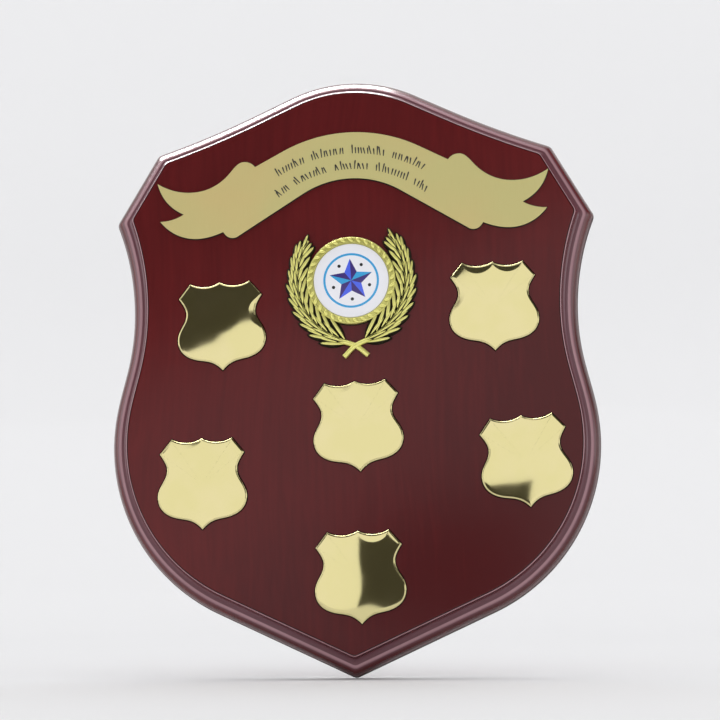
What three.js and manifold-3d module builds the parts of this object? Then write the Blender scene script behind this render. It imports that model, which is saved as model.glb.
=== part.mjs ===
// A heraldic shield plaque: a moulded wooden board with a ribbon plate, a laurel wreath that holds
// a round centre disc, and six small brass shields. Millimetres, +Z up, the front faces -Y, and the
// origin lies in the middle of the flat back, where a wall holds the plaque.
import * as THREE from 'three';
import * as BufferGeometryUtils from 'three/addons/utils/BufferGeometryUtils.js';
import { ConvexGeometry } from 'three/addons/geometries/ConvexGeometry.js';
import Module from 'manifold-3d';

const wasm = await Module();
wasm.setup();

// Board: thickness and the outline of its flat face, right half
const boardThickness = 15;
const crownHeight = 94.3;
const crownRadius = 43;
const flankSlope = THREE.MathUtils.degToRad(25.5);
const flankLength = 14;
const shoulder = new THREE.Vector2(63, 71);
const ear = new THREE.Vector2(73.9, 51.9);
const waistHalfWidth = 68.3;
const waistHeight = 19;
const waistRadius = 95;
const bellyHalfWidth = 74.6;
const bellyHeight = -24;
const bellyRadius = 54.9;
const tipHeight = -93.5;
const cornerReach = 1.1;

// Sides of a round piece
const roundSides = 40;

// Board moulding: a small round lip, a cove, a ledge, an ovolo and a softened back edge
const lipRadius = 0.65;
const coveWidth = 2.05;
const coveDrop = 4.45;
const ledgeWidth = 0.3;
const ovoloWidth = 4.1;
const sideHeight = 1.7;
const backEdgeRound = 0.6;

// Ribbon plate: half outline around its own middle, and where it sits on the board
const ribbonThickness = 0.8;
const ribbonEdgeRound = 0.15;
const ribbonPlace = new THREE.Vector2(0, 64.1);
const ribbonTilt = THREE.MathUtils.degToRad(0.95);
const bandHeight = 16.1;
const bandTopRadius = 49;
const bandTopSweep = THREE.MathUtils.degToRad(28);
const bandBottomRadius = 31;
const bandBottomSweep = THREE.MathUtils.degToRad(32);
const bandTopReach = 32.6;
const bandBottomReach = 38.3;
// Curves of a ribbon tail, three control points each: the upper ones from the notch beside the band
// out to the upper point and back to the fork, the lower ones from the fork round to the band's foot
const upperTailCurves = [
  [[1.0, 1.4], [2.4, 2.0], [4.0, 1.9]],
  [[6.2, 1.7], [7.6, -0.8], [9.5, -2.8]],
  [[12.4, -5.8], [16.5, -8.1], [21.9, -8.1]],
  [[26.4, -8.1], [30.2, -6.6], [33.3, -4.6]],
  [[31.8, -10.1], [29.0, -13.3], [24.4, -15.6]],
];
const lowerTailCurves = [
  [[21.3, 6.4], [24.0, 5.8], [26.7, 5.8]],
  [[23.5, 1.7], [19.1, -0.6], [14.2, -0.6]],
  [[11.0, -0.6], [8.0, 0.3], [5.3, 1.5]],
  [[4.6, 0.3], [3.7, -0.6], [2.5, -0.7]],
  [[1.5, -0.8], [0.7, -0.6], [0, 0]],
];

// Wreath surround, around the middle of its ring
const wreathPlace = new THREE.Vector2(-0.25, 28.8);
const wreathTilt = THREE.MathUtils.degToRad(3.4);
const ringLipWidth = 0.45;
const ringBandWidth = 1.7;
const ringHeight = 2.4;
const ringLipHeight = 1.75;
const ringBandDip = 0.5;
const cupFloor = 0.7;
// Route of a laurel branch: distance outside the ring and angle, from the cut stem end to the tip.
// Its leaves grow at nodes spread along the route, past a bare stretch of stem.
const branchRoute = [
  [11.0, -99], [7.2, -90], [5.6, -74], [4.8, -55], [4.1, -33], [3.8, -8], [4.0, 19], [4.9, 38], [5.6, 47],
];
const stemRadius = 0.8;
const leafNodes = 10;
const bareStemLength = 9.4;
const tipLeafSetback = 3.1;
const lowestLeafLength = 8.4;
const highestLeafLength = 5.6;
const leafWidth = 2.3;
const leafEdgeHeight = 0.8;
const leafCrestHeight = 1.7;
const leafOverlap = 0.3;
const outerLeafSpread = THREE.MathUtils.degToRad(16);
const lowestInnerSpread = THREE.MathUtils.degToRad(40);
const highestInnerSpread = THREE.MathUtils.degToRad(22);
const leafBaseReach = 0.8;

// Centre disc and the cup that it lies in
const discDiameter = 25;
const discThickness = 0.8;
const discEdgeRound = 0.12;
const discClearance = 0.15;
const cupRadius = discDiameter / 2 + discClearance;
const ringRadius = cupRadius + ringLipWidth + ringBandWidth;

// Small shields: half outline around the middle between the ears
const badgeEarHalfWidth = 14;
const badgeTopHalfWidth = 10;
const badgeTopHeight = 4.95;
const badgeScallopDip = 1.35;
const badgeWaistHalfWidth = 11.6;
const badgeWaistHeight = -5.4;
const badgeBellyHalfWidth = 14.75;
const badgeBellyHeight = -14.2;
const badgeFootHalfWidth = 7.5;
const badgeFootHeight = -21.3;
const badgeTipHeight = -25;
const badgeThickness = 0.6;
const badgeRimWidth = 0.55;
const badgeDomeEdge = 1.2;
const badgeDomeRise = 0.5;

// Where each small shield was stuck on by hand: middle between the ears, and tilt in degrees
const badges = [
  { name: 'small_shield_upper_left', x: -44.2, z: 24.3, tilt: 2.6 },
  { name: 'small_shield_upper_right', x: 46.6, z: 29.5, tilt: 1.0 },
  { name: 'small_shield_lower_left', x: -49.8, z: -28.1, tilt: 1.2 },
  { name: 'small_shield_middle', x: 0.9, z: -9.8, tilt: 3.5 },
  { name: 'small_shield_lower_right', x: 55.2, z: -22.0, tilt: 4.9 },
  { name: 'small_shield_bottom', x: 1.6, z: -58.8, tilt: 2.3 },
];

const materials = {
  wood: new THREE.MeshStandardMaterial({ color: 0x5c1c1e, roughness: 0.22, metalness: 0 }),
  ribbon: new THREE.MeshStandardMaterial({ color: 0xc3b57a, roughness: 0.45, metalness: 1 }),
  wreath: new THREE.MeshStandardMaterial({ color: 0xcdc35f, roughness: 0.25, metalness: 1 }),
  disc: new THREE.MeshStandardMaterial({ color: 0xe8e8ee, roughness: 0.4, metalness: 0 }),
  badge: new THREE.MeshStandardMaterial({ color: 0xe3db9e, roughness: 0.1, metalness: 1 }),
};

// Outlines are lists of Vector2 (x, z), counter-clockwise for someone who faces the front.

function pointAt(centre, radius, angle) {
  return new THREE.Vector2(centre.x + radius * Math.cos(angle), centre.y + radius * Math.sin(angle));
}

function arc(centre, radius, from, to, steps) {
  return Array.from({ length: steps + 1 }, (_, i) => pointAt(centre, radius, from + (to - from) * i / steps));
}

// A curve between two points, whose control points are shares of the way across and up
function bentBetween(from, to, firstShare, secondShare) {
  const control = ([across, up]) => new THREE.Vector2(
    THREE.MathUtils.lerp(from.x, to.x, across),
    THREE.MathUtils.lerp(from.y, to.y, up),
  );
  return new THREE.CubicBezierCurve(from, control(firstShare), control(secondShare), to);
}

// Where a straight line meets a circle, next to a given point
function lineMeetsCircle(start, direction, centre, radius, near) {
  const across = start.clone().sub(centre);
  const b = across.dot(direction);
  const root = Math.sqrt(b * b - across.lengthSq() + radius * radius);
  const hits = [-b - root, -b + root].map((t) => start.clone().addScaledVector(direction, t));
  return hits[0].distanceTo(near) < hits[1].distanceTo(near) ? hits[0] : hits[1];
}

// A corner eased by a short curve that starts and ends at a reach from the corner
function easedCorner(before, corner, after, reach, steps) {
  const start = corner.clone().add(before.clone().sub(corner).setLength(reach));
  const end = corner.clone().add(after.clone().sub(corner).setLength(reach));
  return new THREE.QuadraticBezierCurve(start, corner, end).getPoints(steps);
}

function mirrored(points) {
  return points.map((p) => new THREE.Vector2(-p.x, p.y)).reverse();
}

// The board's outline grown outward by an offset, with mitred corners and always as many points
function boardOutline(offset) {
  const crownCentre = new THREE.Vector2(0, crownHeight - crownRadius);
  const flankNormal = Math.PI / 2 - flankSlope;
  const crown = arc(crownCentre, crownRadius + offset, Math.PI / 2, flankNormal, 5);

  const flankStart = pointAt(crownCentre, crownRadius, flankNormal);
  const flankEnd = pointAt(flankStart, flankLength, -flankSlope);
  const chord = shoulder.clone().sub(flankEnd);
  const bend = chord.angle() - (2 * Math.PI - flankSlope);
  const hollowRadius = chord.length() / (2 * Math.sin(bend));
  const hollowCentre = pointAt(flankEnd, hollowRadius, flankNormal);
  const diagonal = ear.clone().sub(shoulder).normalize();
  const diagonalNormal = new THREE.Vector2(-diagonal.y, diagonal.x);
  const diagonalPoint = shoulder.clone().addScaledVector(diagonalNormal, offset);
  const hollowSize = hollowRadius - offset;
  const shoulderCorner = lineMeetsCircle(diagonalPoint, diagonal, hollowCentre, hollowSize, shoulder);
  const hollowTo = shoulderCorner.clone().sub(hollowCentre).angle() - 2 * Math.PI;
  const hollow = arc(hollowCentre, hollowSize, flankNormal - Math.PI, hollowTo, 3);

  const waistCentre = new THREE.Vector2(waistHalfWidth + waistRadius, waistHeight);
  const earCorner = lineMeetsCircle(diagonalPoint, diagonal, waistCentre, waistRadius - offset, ear);
  const waistFrom = earCorner.clone().sub(waistCentre).angle();
  const waist = arc(waistCentre, waistRadius - offset, waistFrom, Math.PI, 5);
  const hip = bentBetween(
    new THREE.Vector2(waistHalfWidth, waistHeight),
    new THREE.Vector2(bellyHalfWidth, bellyHeight),
    [0, 0.464],
    [1, 0.646],
  );
  const hipline = hip.getPoints(7).slice(1, -1).map((point, i) => {
    const heading = hip.getTangent((i + 1) / 7);
    return point.addScaledVector(new THREE.Vector2(-heading.y, heading.x), offset);
  });

  const bellyCentre = new THREE.Vector2(bellyHalfWidth - bellyRadius, bellyHeight);
  const tip = new THREE.Vector2(0, tipHeight);
  const toTip = tip.clone().sub(bellyCentre);
  const bellyTo = toTip.angle() - 2 * Math.PI + Math.acos(bellyRadius / toTip.length());
  const belly = arc(bellyCentre, bellyRadius + offset, 0, bellyTo, 13);
  const tipCorner = new THREE.Vector2(0, tipHeight + offset / Math.sin(bellyTo));

  const shoulderEase = easedCorner(hollow.at(-2), shoulderCorner, earCorner, cornerReach, 3);
  const earEase = easedCorner(shoulderCorner, earCorner, waist[1], cornerReach, 3);
  const tipEase = easedCorner(belly.at(-1), tipCorner, mirrored(belly)[0], cornerReach, 4);
  const right = [
    ...crown, ...hollow.slice(0, -1), ...shoulderEase, ...earEase,
    ...waist.slice(1), ...hipline, ...belly, ...tipEase.slice(0, 3),
  ].reverse();
  return [...right, ...mirrored(right).slice(1, -1)];
}

// A closed body through a stack of outlines, from the front one to the back one
function stackedSolid(levels) {
  const count = levels[0].outline.length;
  const positions = levels.flatMap(({ outline, y }) => outline.flatMap((p) => [p.x, y, p.y]));
  const triangles = [];
  for (let level = 0; level < levels.length - 1; level += 1) {
    for (let i = 0; i < count; i += 1) {
      const front = level * count + i;
      const frontNext = level * count + (i + 1) % count;
      triangles.push(front, front + count, frontNext, frontNext, front + count, frontNext + count);
    }
  }
  for (const [a, b, c] of THREE.ShapeUtils.triangulateShape(levels[0].outline, [])) {
    triangles.push(a, b, c);
  }
  const last = (levels.length - 1) * count;
  for (const [a, b, c] of THREE.ShapeUtils.triangulateShape(levels.at(-1).outline, [])) {
    triangles.push(last + a, last + c, last + b);
  }
  const geometry = new THREE.BufferGeometry();
  geometry.setAttribute('position', new THREE.Float32BufferAttribute(positions, 3));
  geometry.setIndex(triangles);
  geometry.computeVertexNormals();
  return geometry;
}

// Moulding profile as pairs of outward offset and depth behind the face
function mouldingProfile() {
  const quarter = Math.PI / 2;
  const profile = [];
  for (const t of [0, 0.35, 0.7, 1]) {
    profile.push([lipRadius * Math.sin(t * quarter), lipRadius * (1 - Math.cos(t * quarter))]);
  }
  const coveEnd = lipRadius + coveWidth;
  const ledgeDepth = lipRadius + coveDrop;
  for (const t of [0.3, 0.6, 0.85, 1]) {
    profile.push([coveEnd - coveWidth * Math.cos(t * quarter), lipRadius + coveDrop * Math.sin(t * quarter)]);
  }
  const ovoloStart = coveEnd + ledgeWidth;
  const ovoloDrop = boardThickness - backEdgeRound - sideHeight - ledgeDepth;
  for (const t of [0, 0.2, 0.4, 0.6, 0.8, 1]) {
    const drop = ovoloDrop * (1 - Math.cos(t * quarter));
    profile.push([ovoloStart + ovoloWidth * Math.sin(t * quarter), ledgeDepth + drop]);
  }
  const fullOffset = ovoloStart + ovoloWidth;
  profile.push([fullOffset, boardThickness - backEdgeRound]);
  profile.push([fullOffset - backEdgeRound, boardThickness]);
  return profile;
}

function makeBoard() {
  const levels = mouldingProfile().map(([offset, depth]) => ({
    outline: boardOutline(offset),
    y: depth - boardThickness,
  }));
  return stackedSolid(levels);
}

// The ribbon's outline: an arched band with a forked tail at each end
function ribbonOutline() {
  const topCentre = new THREE.Vector2(0, bandHeight - bandTopRadius);
  const bottomCentre = new THREE.Vector2(0, -bandBottomRadius);
  const quarter = Math.PI / 2;
  const top = arc(topCentre, bandTopRadius, quarter, quarter - bandTopSweep, 6);
  const bottom = arc(bottomCentre, bandBottomRadius, quarter - bandBottomSweep, quarter, 6);
  const topEnd = top.at(-1);
  const topNotchDrop = (bandTopReach - topEnd.x) * Math.tan(bandTopSweep);
  const topNotch = new THREE.Vector2(bandTopReach, topEnd.y - topNotchDrop);
  const bottomDrop = (bandBottomReach - bottom[0].x) * Math.tan(bandBottomSweep);
  const foldEnd = new THREE.Vector2(bandBottomReach, bottom[0].y - bottomDrop);

  const tail = new THREE.Shape();
  tail.moveTo(topNotch.x, topNotch.y);
  for (const [from, curves] of [[topNotch, upperTailCurves], [foldEnd, lowerTailCurves]]) {
    for (const curve of curves) {
      tail.bezierCurveTo(...curve.flatMap(([x, z]) => [from.x + x, from.y + z]));
    }
  }
  const right = [...top, ...tail.getPoints(4), ...bottom].reverse();
  return [...right.slice(0, -1), ...mirrored(right).slice(0, -1)];
}

// An outline moved inward by a small distance along the mean normal of the sides at each point
function inset(outline, distance) {
  const count = outline.length;
  return outline.map((point, i) => {
    const before = point.clone().sub(outline[(i + count - 1) % count]).normalize();
    const after = outline[(i + 1) % count].clone().sub(point).normalize();
    const inward = new THREE.Vector2(-before.y - after.y, before.x + after.x).normalize();
    return point.clone().addScaledVector(inward, distance);
  });
}

function makeRibbon() {
  const outline = ribbonOutline();
  return stackedSolid([
    { outline: inset(outline, ribbonEdgeRound), y: -ribbonThickness },
    { outline, y: ribbonEdgeRound - ribbonThickness },
    { outline, y: 0 },
  ]);
}

function badgeOutline() {
  const scallopHalf = badgeTopHalfWidth / 2;
  const dip = badgeScallopDip;
  const scallopRadius = (scallopHalf * scallopHalf + dip * dip) / (2 * dip);
  const scallopCentre = new THREE.Vector2(scallopHalf, badgeTopHeight - dip + scallopRadius);
  const sweep = Math.asin(scallopHalf / scallopRadius);
  const down = -Math.PI / 2;
  const scallop = arc(scallopCentre, scallopRadius, down - sweep, down + sweep, 5);

  const earPoint = new THREE.Vector2(badgeEarHalfWidth, 0);
  const waist = new THREE.Vector2(badgeWaistHalfWidth, badgeWaistHeight);
  const belly = new THREE.Vector2(badgeBellyHalfWidth, badgeBellyHeight);
  const foot = new THREE.Vector2(badgeFootHalfWidth, badgeFootHeight);
  const tip = new THREE.Vector2(0, badgeTipHeight);
  const side = new THREE.CurvePath();
  side.add(bentBetween(earPoint, waist, [0.42, 0.3], [1, 0.63]));
  side.add(bentBetween(waist, belly, [0, 0.36], [1, 0.57]));
  side.add(bentBetween(belly, foot, [0, 0.59], [0.44, 0.9]));
  side.add(bentBetween(foot, tip, [0.39, 0.14], [0.65, 0.19]));
  const right = [...scallop, ...side.getPoints(4)].reverse();
  return [...right, ...mirrored(right).slice(1, -1)];
}

// Levels of a small shield: its domed plate, its flat rim and its back
function makeBadge() {
  const outline = badgeOutline();
  const front = -badgeThickness;
  return stackedSolid([
    { outline: inset(outline, badgeRimWidth + badgeDomeEdge), y: front - badgeDomeRise },
    { outline: inset(outline, badgeRimWidth), y: front },
    { outline, y: front },
    { outline, y: 0 },
  ]);
}

function toSolid(geometry) {
  const bare = geometry.clone();
  bare.deleteAttribute('normal');
  bare.deleteAttribute('uv');
  const merged = BufferGeometryUtils.mergeVertices(bare, 1e-5);
  const mesh = new wasm.Mesh({
    numProp: 3,
    vertProperties: new Float32Array(merged.attributes.position.array),
    triVerts: new Uint32Array(merged.index.array),
  });
  return new wasm.Manifold(mesh);
}

function toGeometry(solid) {
  const mesh = solid.getMesh();
  const geometry = new THREE.BufferGeometry();
  geometry.setAttribute('position', new THREE.Float32BufferAttribute(mesh.vertProperties, 3));
  geometry.setIndex(new THREE.Uint32BufferAttribute(mesh.triVerts, 1));
  geometry.computeVertexNormals();
  return geometry;
}

// The ring that holds the disc: a cup with a thin inner lip and a raised round band
function makeRing() {
  const bandStart = cupRadius + ringLipWidth;
  const bandMiddle = (bandStart + ringRadius) / 2;
  const profile = [
    [0, 0], [ringRadius, 0], [ringRadius, ringHeight - 2 * ringBandDip],
    [bandMiddle + ringBandWidth / 4, ringHeight], [bandMiddle - ringBandWidth / 4, ringHeight],
    [bandStart, ringHeight - ringBandDip], [bandStart, ringLipHeight], [cupRadius, ringLipHeight],
    [cupRadius, cupFloor], [0, cupFloor],
  ].map(([radius, height]) => new THREE.Vector2(radius, height));
  const ring = new THREE.LatheGeometry(profile, roundSides);
  ring.rotateX(Math.PI);
  return ring;
}

// The line that a laurel branch follows, from its cut stem end to its tip
function branchLine() {
  const points = branchRoute.map(([gap, degrees]) => {
    const angle = THREE.MathUtils.degToRad(degrees);
    const radius = ringRadius + gap;
    return new THREE.Vector3(radius * Math.cos(angle), 0, radius * Math.sin(angle));
  });
  return new THREE.CatmullRomCurve3(points, false, 'centripetal');
}

// One laurel leaf: a lens-shaped body with a crest, from its base along a direction
function makeLeaf(base, direction, length, lift) {
  const across = new THREE.Vector3(-direction.z, 0, direction.x);
  const at = (along, side, height) => base.clone()
    .addScaledVector(direction, along * length)
    .addScaledVector(across, side * leafWidth / 2)
    .setY(-height);
  const rim = [[0, 0.3], [0.42, 1], [1, 0.18]];
  const points = [];
  for (const [along, side] of rim) {
    for (const sign of [-1, 1]) {
      points.push(at(along, sign * side, 0));
      points.push(at(along, sign * side, leafEdgeHeight + lift));
    }
  }
  points.push(at(0.15, 0, leafCrestHeight + lift), at(0.6, 0, leafCrestHeight + lift));
  return new ConvexGeometry(points);
}

function makeStem(line) {
  const section = new THREE.Shape();
  section.absarc(0, 0, stemRadius, 0, 2 * Math.PI);
  const settings = { steps: 16, curveSegments: 3, bevelEnabled: false, extrudePath: line };
  const stem = new THREE.ExtrudeGeometry(section, settings);
  stem.translate(0, -stemRadius, 0);
  return stem;
}

// The right branch: its stem, and at each node a leaf to each side and one along the stem, but at
// the last node only the one along the stem
function makeBranch() {
  const line = branchLine();
  const leafyLength = line.getLength() - bareStemLength - tipLeafSetback;
  let branch = toSolid(makeStem(line));
  for (let node = 0; node < leafNodes; node += 1) {
    const share = node / (leafNodes - 1);
    const place = (bareStemLength + leafyLength * share) / line.getLength();
    const base = line.getPointAt(place);
    const along = line.getTangentAt(place);
    const length = THREE.MathUtils.lerp(lowestLeafLength, highestLeafLength, share);
    const innerSpread = THREE.MathUtils.lerp(lowestInnerSpread, highestInnerSpread, share);
    const turns = node === leafNodes - 1 ? [0] : [outerLeafSpread, -innerSpread, 0];
    const outward = new THREE.Vector3(along.z, 0, -along.x);
    for (const turn of turns) {
      const direction = along.clone().applyAxisAngle(new THREE.Vector3(0, 1, 0), turn);
      const foot = base.clone().addScaledVector(outward, Math.sign(turn) * leafBaseReach);
      branch = branch.add(toSolid(makeLeaf(foot, direction, length, turn === 0 ? leafOverlap : 0)));
    }
  }
  return branch;
}

function makeWreath() {
  const right = makeBranch();
  const left = right.mirror([1, 0, 0]);
  const cup = toSolid(new THREE.CylinderGeometry(cupRadius, cupRadius, 4 * ringHeight, roundSides));
  const branches = right.add(left).subtract(cup);
  return toGeometry(toSolid(makeRing()).add(branches));
}

function makeDisc() {
  const radius = discDiameter / 2;
  const front = discThickness - discEdgeRound;
  const profile = [[0, 0], [radius, 0], [radius, front], [radius - discEdgeRound, discThickness], [0, discThickness]]
    .map(([r, height]) => new THREE.Vector2(r, height));
  const disc = new THREE.LatheGeometry(profile, roundSides);
  disc.rotateX(Math.PI);
  return disc;
}

function addPiece(parent, name, geometry, material, place, depth, tilt) {
  const mesh = new THREE.Mesh(geometry, material);
  mesh.name = name;
  mesh.position.set(place.x, depth, place.y);
  mesh.rotation.y = -tilt;
  parent.add(mesh);
}

const plaque = new THREE.Group();
const face = -boardThickness;
const middle = new THREE.Vector2(0, 0);

addPiece(plaque, 'shield_board', makeBoard(), materials.wood, middle, 0, 0);
addPiece(plaque, 'ribbon_plate', makeRibbon(), materials.ribbon, ribbonPlace, face, ribbonTilt);
addPiece(plaque, 'wreath_surround', makeWreath(), materials.wreath, wreathPlace, face, wreathTilt);
addPiece(plaque, 'centre_disc', makeDisc(), materials.disc, wreathPlace, face - cupFloor, wreathTilt);
for (const { name, x, z, tilt } of badges) {
  const turn = THREE.MathUtils.degToRad(tilt);
  addPiece(plaque, name, makeBadge(), materials.badge, new THREE.Vector2(x, z), face, turn);
}

export default plaque;
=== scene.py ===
from math import acos, asin, atan2, cos, pi, radians, sin, sqrt, tan

import bmesh
import bpy
from bpy.props import FloatProperty, FloatVectorProperty, IntProperty, PointerProperty
from mathutils import Matrix, Vector


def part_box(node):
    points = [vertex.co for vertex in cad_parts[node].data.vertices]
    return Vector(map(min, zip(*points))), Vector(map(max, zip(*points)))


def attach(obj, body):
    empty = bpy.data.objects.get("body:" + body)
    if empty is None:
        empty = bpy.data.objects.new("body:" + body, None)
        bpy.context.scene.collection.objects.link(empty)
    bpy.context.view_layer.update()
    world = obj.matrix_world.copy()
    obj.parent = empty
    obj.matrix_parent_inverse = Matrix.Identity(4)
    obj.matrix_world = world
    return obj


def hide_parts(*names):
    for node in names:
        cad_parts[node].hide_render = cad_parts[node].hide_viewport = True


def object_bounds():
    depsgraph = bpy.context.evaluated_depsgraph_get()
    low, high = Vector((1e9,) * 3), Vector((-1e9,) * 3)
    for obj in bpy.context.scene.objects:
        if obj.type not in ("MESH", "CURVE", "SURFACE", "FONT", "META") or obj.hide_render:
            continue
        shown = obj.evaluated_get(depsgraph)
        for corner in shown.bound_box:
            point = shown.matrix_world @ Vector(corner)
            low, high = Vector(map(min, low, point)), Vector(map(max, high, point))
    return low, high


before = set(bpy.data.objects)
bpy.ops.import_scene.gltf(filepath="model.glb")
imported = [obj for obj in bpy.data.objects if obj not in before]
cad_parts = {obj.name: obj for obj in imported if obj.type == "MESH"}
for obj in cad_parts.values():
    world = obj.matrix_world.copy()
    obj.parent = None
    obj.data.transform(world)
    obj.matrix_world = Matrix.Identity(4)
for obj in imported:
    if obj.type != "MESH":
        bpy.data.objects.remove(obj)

bl_info = {
    "name": "Heraldic shield plaque",
    "version": (1, 0, 0),
    "blender": (4, 5, 0),
    "location": "View3D > Sidebar > Plaque",
    "description": "Builds a moulded wooden plaque with a ribbon, a laurel wreath and small brass shields",
    "category": "Add Mesh",
}

MM = 0.001
FLAT_BORDER = 0.4 * MM   # ring of face round a flat, which keeps the flat's shading even
SHADE_LINE_WIDTH = 0.25 * MM   # painted shadow: a thin dark flange round the foot of each metal piece
SHADE_LINE_HEIGHT = 0.05 * MM
CAD_BOX = [list(corner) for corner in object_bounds()]

# Depths along Y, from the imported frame: the board's back and face, the plates' fronts, the disc's back
BOARD_LOW, BOARD_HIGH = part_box("shield_board")
FACE = BOARD_LOW.y
BOARD_THICKNESS = BOARD_HIGH.y - BOARD_LOW.y
RIBBON_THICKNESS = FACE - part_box("ribbon_plate")[0].y
RING_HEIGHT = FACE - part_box("wreath_surround")[0].y
DISC_LOW, DISC_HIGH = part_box("centre_disc")
DISC_RADIUS = (DISC_HIGH.x - DISC_LOW.x) / 2
DISC_THICKNESS = DISC_HIGH.y - DISC_LOW.y
WREATH_CENTRE = Vector(((DISC_LOW.x + DISC_HIGH.x) / 2, (DISC_LOW.z + DISC_HIGH.z) / 2))

# Curves of a ribbon tail, three control points each, in millimetres: the upper ones from the notch
# beside the band out to the upper point and back to the fork, the lower ones from the fork round to
# the band's foot
UPPER_TAIL = [
    [(1.0, 1.4), (2.4, 2.0), (4.0, 1.9)],
    [(6.2, 1.7), (7.6, -0.8), (9.5, -2.8)],
    [(12.4, -5.8), (16.5, -8.1), (21.9, -8.1)],
    [(26.4, -8.1), (30.2, -6.6), (33.3, -4.6)],
    [(31.8, -10.1), (29.0, -13.3), (24.4, -15.6)],
]
LOWER_TAIL = [
    [(21.3, 6.4), (24.0, 5.8), (26.7, 5.8)],
    [(23.5, 1.7), (19.1, -0.6), (14.2, -0.6)],
    [(11.0, -0.6), (8.0, 0.3), (5.3, 1.5)],
    [(4.6, 0.3), (3.7, -0.6), (2.5, -0.7)],
    [(1.5, -0.8), (0.7, -0.6), (0, 0)],
]

# Route of a laurel branch: millimetres outside the ring and degrees, from the cut stem to the tip
BRANCH_ROUTE = [
    (11.0, -99), (7.2, -90), (5.6, -74), (4.8, -55), (4.1, -33),
    (3.8, -8), (4.0, 19), (4.9, 38), (5.6, 47),
]

# Ranks of leaves on a branch: leaves, shift along the stem in leaves, spread at the foot and at the tip
# in degrees, start beside the stem in millimetres, share of full length and of full width, and lift
# above the board in millimetres
LEAF_RANKS = [
    (9, 0.0, 14, 14, 0.8, 1.0, 1.0, 0.0),
    (9, 0.0, -40, -26, -0.8, 1.2, 1.05, 0.4),
    (9, 0.5, 8, 9, 0.9, 0.86, 0.82, 0.12),
    (9, 0.5, -22, -14, -0.9, 0.95, 0.85, 0.5),
    (10, 0.0, 0, 0, 0.0, 0.95, 0.72, 0.55),
]
LAST_LEAF = 9.0          # the leaf's number at the end of the leafy stretch

# Each small shield: the middle between its ears in millimetres, and its tilt in degrees
SMALL_SHIELDS = [
    ("small_shield_upper_left", -44.2, 24.3, 2.6),
    ("small_shield_upper_right", 46.6, 29.5, 1.0),
    ("small_shield_lower_left", -49.8, -28.1, 1.2),
    ("small_shield_middle", 0.9, -9.8, 3.5),
    ("small_shield_lower_right", 55.2, -22.0, 4.9),
    ("small_shield_bottom", 1.6, -58.8, 2.3),
]

# Marks on the moulding in millimetres of depth: where each starts, is full, begins to fade and is gone.
# The first two are measured from the face, the next two from the ledge and the last from the back.
# The first mark is a painted shade line at the face's edge, the second and third are painted highlights on
# the lip and the ledge, and the fourth is a painted reflection in the hollow.
EDGE_SHADE = (0.0, 0.004, 0.06, 0.09)
LIP_HIGHLIGHT = (0.07, 0.11, 0.55, 0.95)
LEDGE_HIGHLIGHT = (0.005, 0.03, 0.12, 0.42)
HOLLOW_SHEEN = (-2.2, -0.4, 0.3, 0.9)
SIDE_STAIN = (-6.6, -5.4, -0.4, -0.1)

# Tones of the painted shade on a plate's cut sides and foot, of the dots in the disc's print and of the
# studio's cards
FOOT_SHADE = (0.008, 0.005, 0.004)
DOT_INK = (0.004, 0.004, 0.006)
CARD_TONE = (0.085, 0.080, 0.068)

# Radiance of the room: the soft light all round, what gloss mirrors of it, which is pale sides and a dark
# front, and what shows past the backdrop. The dark front starts and is full at angles off the front, in
# degrees, and a dark corner lies between angles clockwise from straight up.
ROOM_LIGHT = (0.70, 0.70, 0.71)
ROOM_SIDES = (1.1, 1.1, 1.12)
ROOM_DARK = (0.075, 0.075, 0.07)
ROOM_SEEN = (0.83, 0.83, 0.84)
DARK_FRONT = (50, 38)
DARK_CORNER = (13, 19, 72, 82)

# Lights in metres: the place, what it faces, the width and height, and how bright it looks
LIGHTS = [
    ("front_wall", (-0.2, -1.9, 0.15), (-0.2, 0, 0.15), (2.6, 1.5), 1.0),
    ("overhead", (-0.56, -0.25, 1.3), (-0.56, -0.25, 0), (1.48, 1.3), 42.0),
    ("floor_light", (0, 0.1, 1.7), (0, 0.1, 0), (2.2, 2.2), 0.8),
    ("left_box", (-1.5, -0.2, 0.1), (0, 0, 0), (0.8, 1.2), 1.2),
    ("right_box", (1.5, -0.2, 0.1), (0, 0, 0), (0.8, 1.2), 1.05),
]

# Cards that only reflections show, one above the wall of light and one low before it: the distance in
# front, and the corners
CARDS = {
    "upper_card": (1.8, [(-1.9, -0.31), (1.9, 1.24), (1.9, 2.4), (-1.9, 2.4)]),
    "low_card": (1.6, [(-0.105, -0.5), (0.155, -0.5), (0.15, 0.07), (-0.10, 0.05)]),
}


# Settings


def length(millimetres, description):
    return FloatProperty(description=description, default=millimetres * MM, unit="LENGTH", precision=5)


def angle(degrees, description):
    return FloatProperty(description=description, default=radians(degrees), subtype="ANGLE")


def place(x, z, description):
    return FloatVectorProperty(
        description=description, size=2, default=(x * MM, z * MM), unit="LENGTH", precision=5
    )


def colour(value, description):
    return FloatVectorProperty(description=description, size=3, default=value, subtype="COLOR", min=0, max=1)


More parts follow.
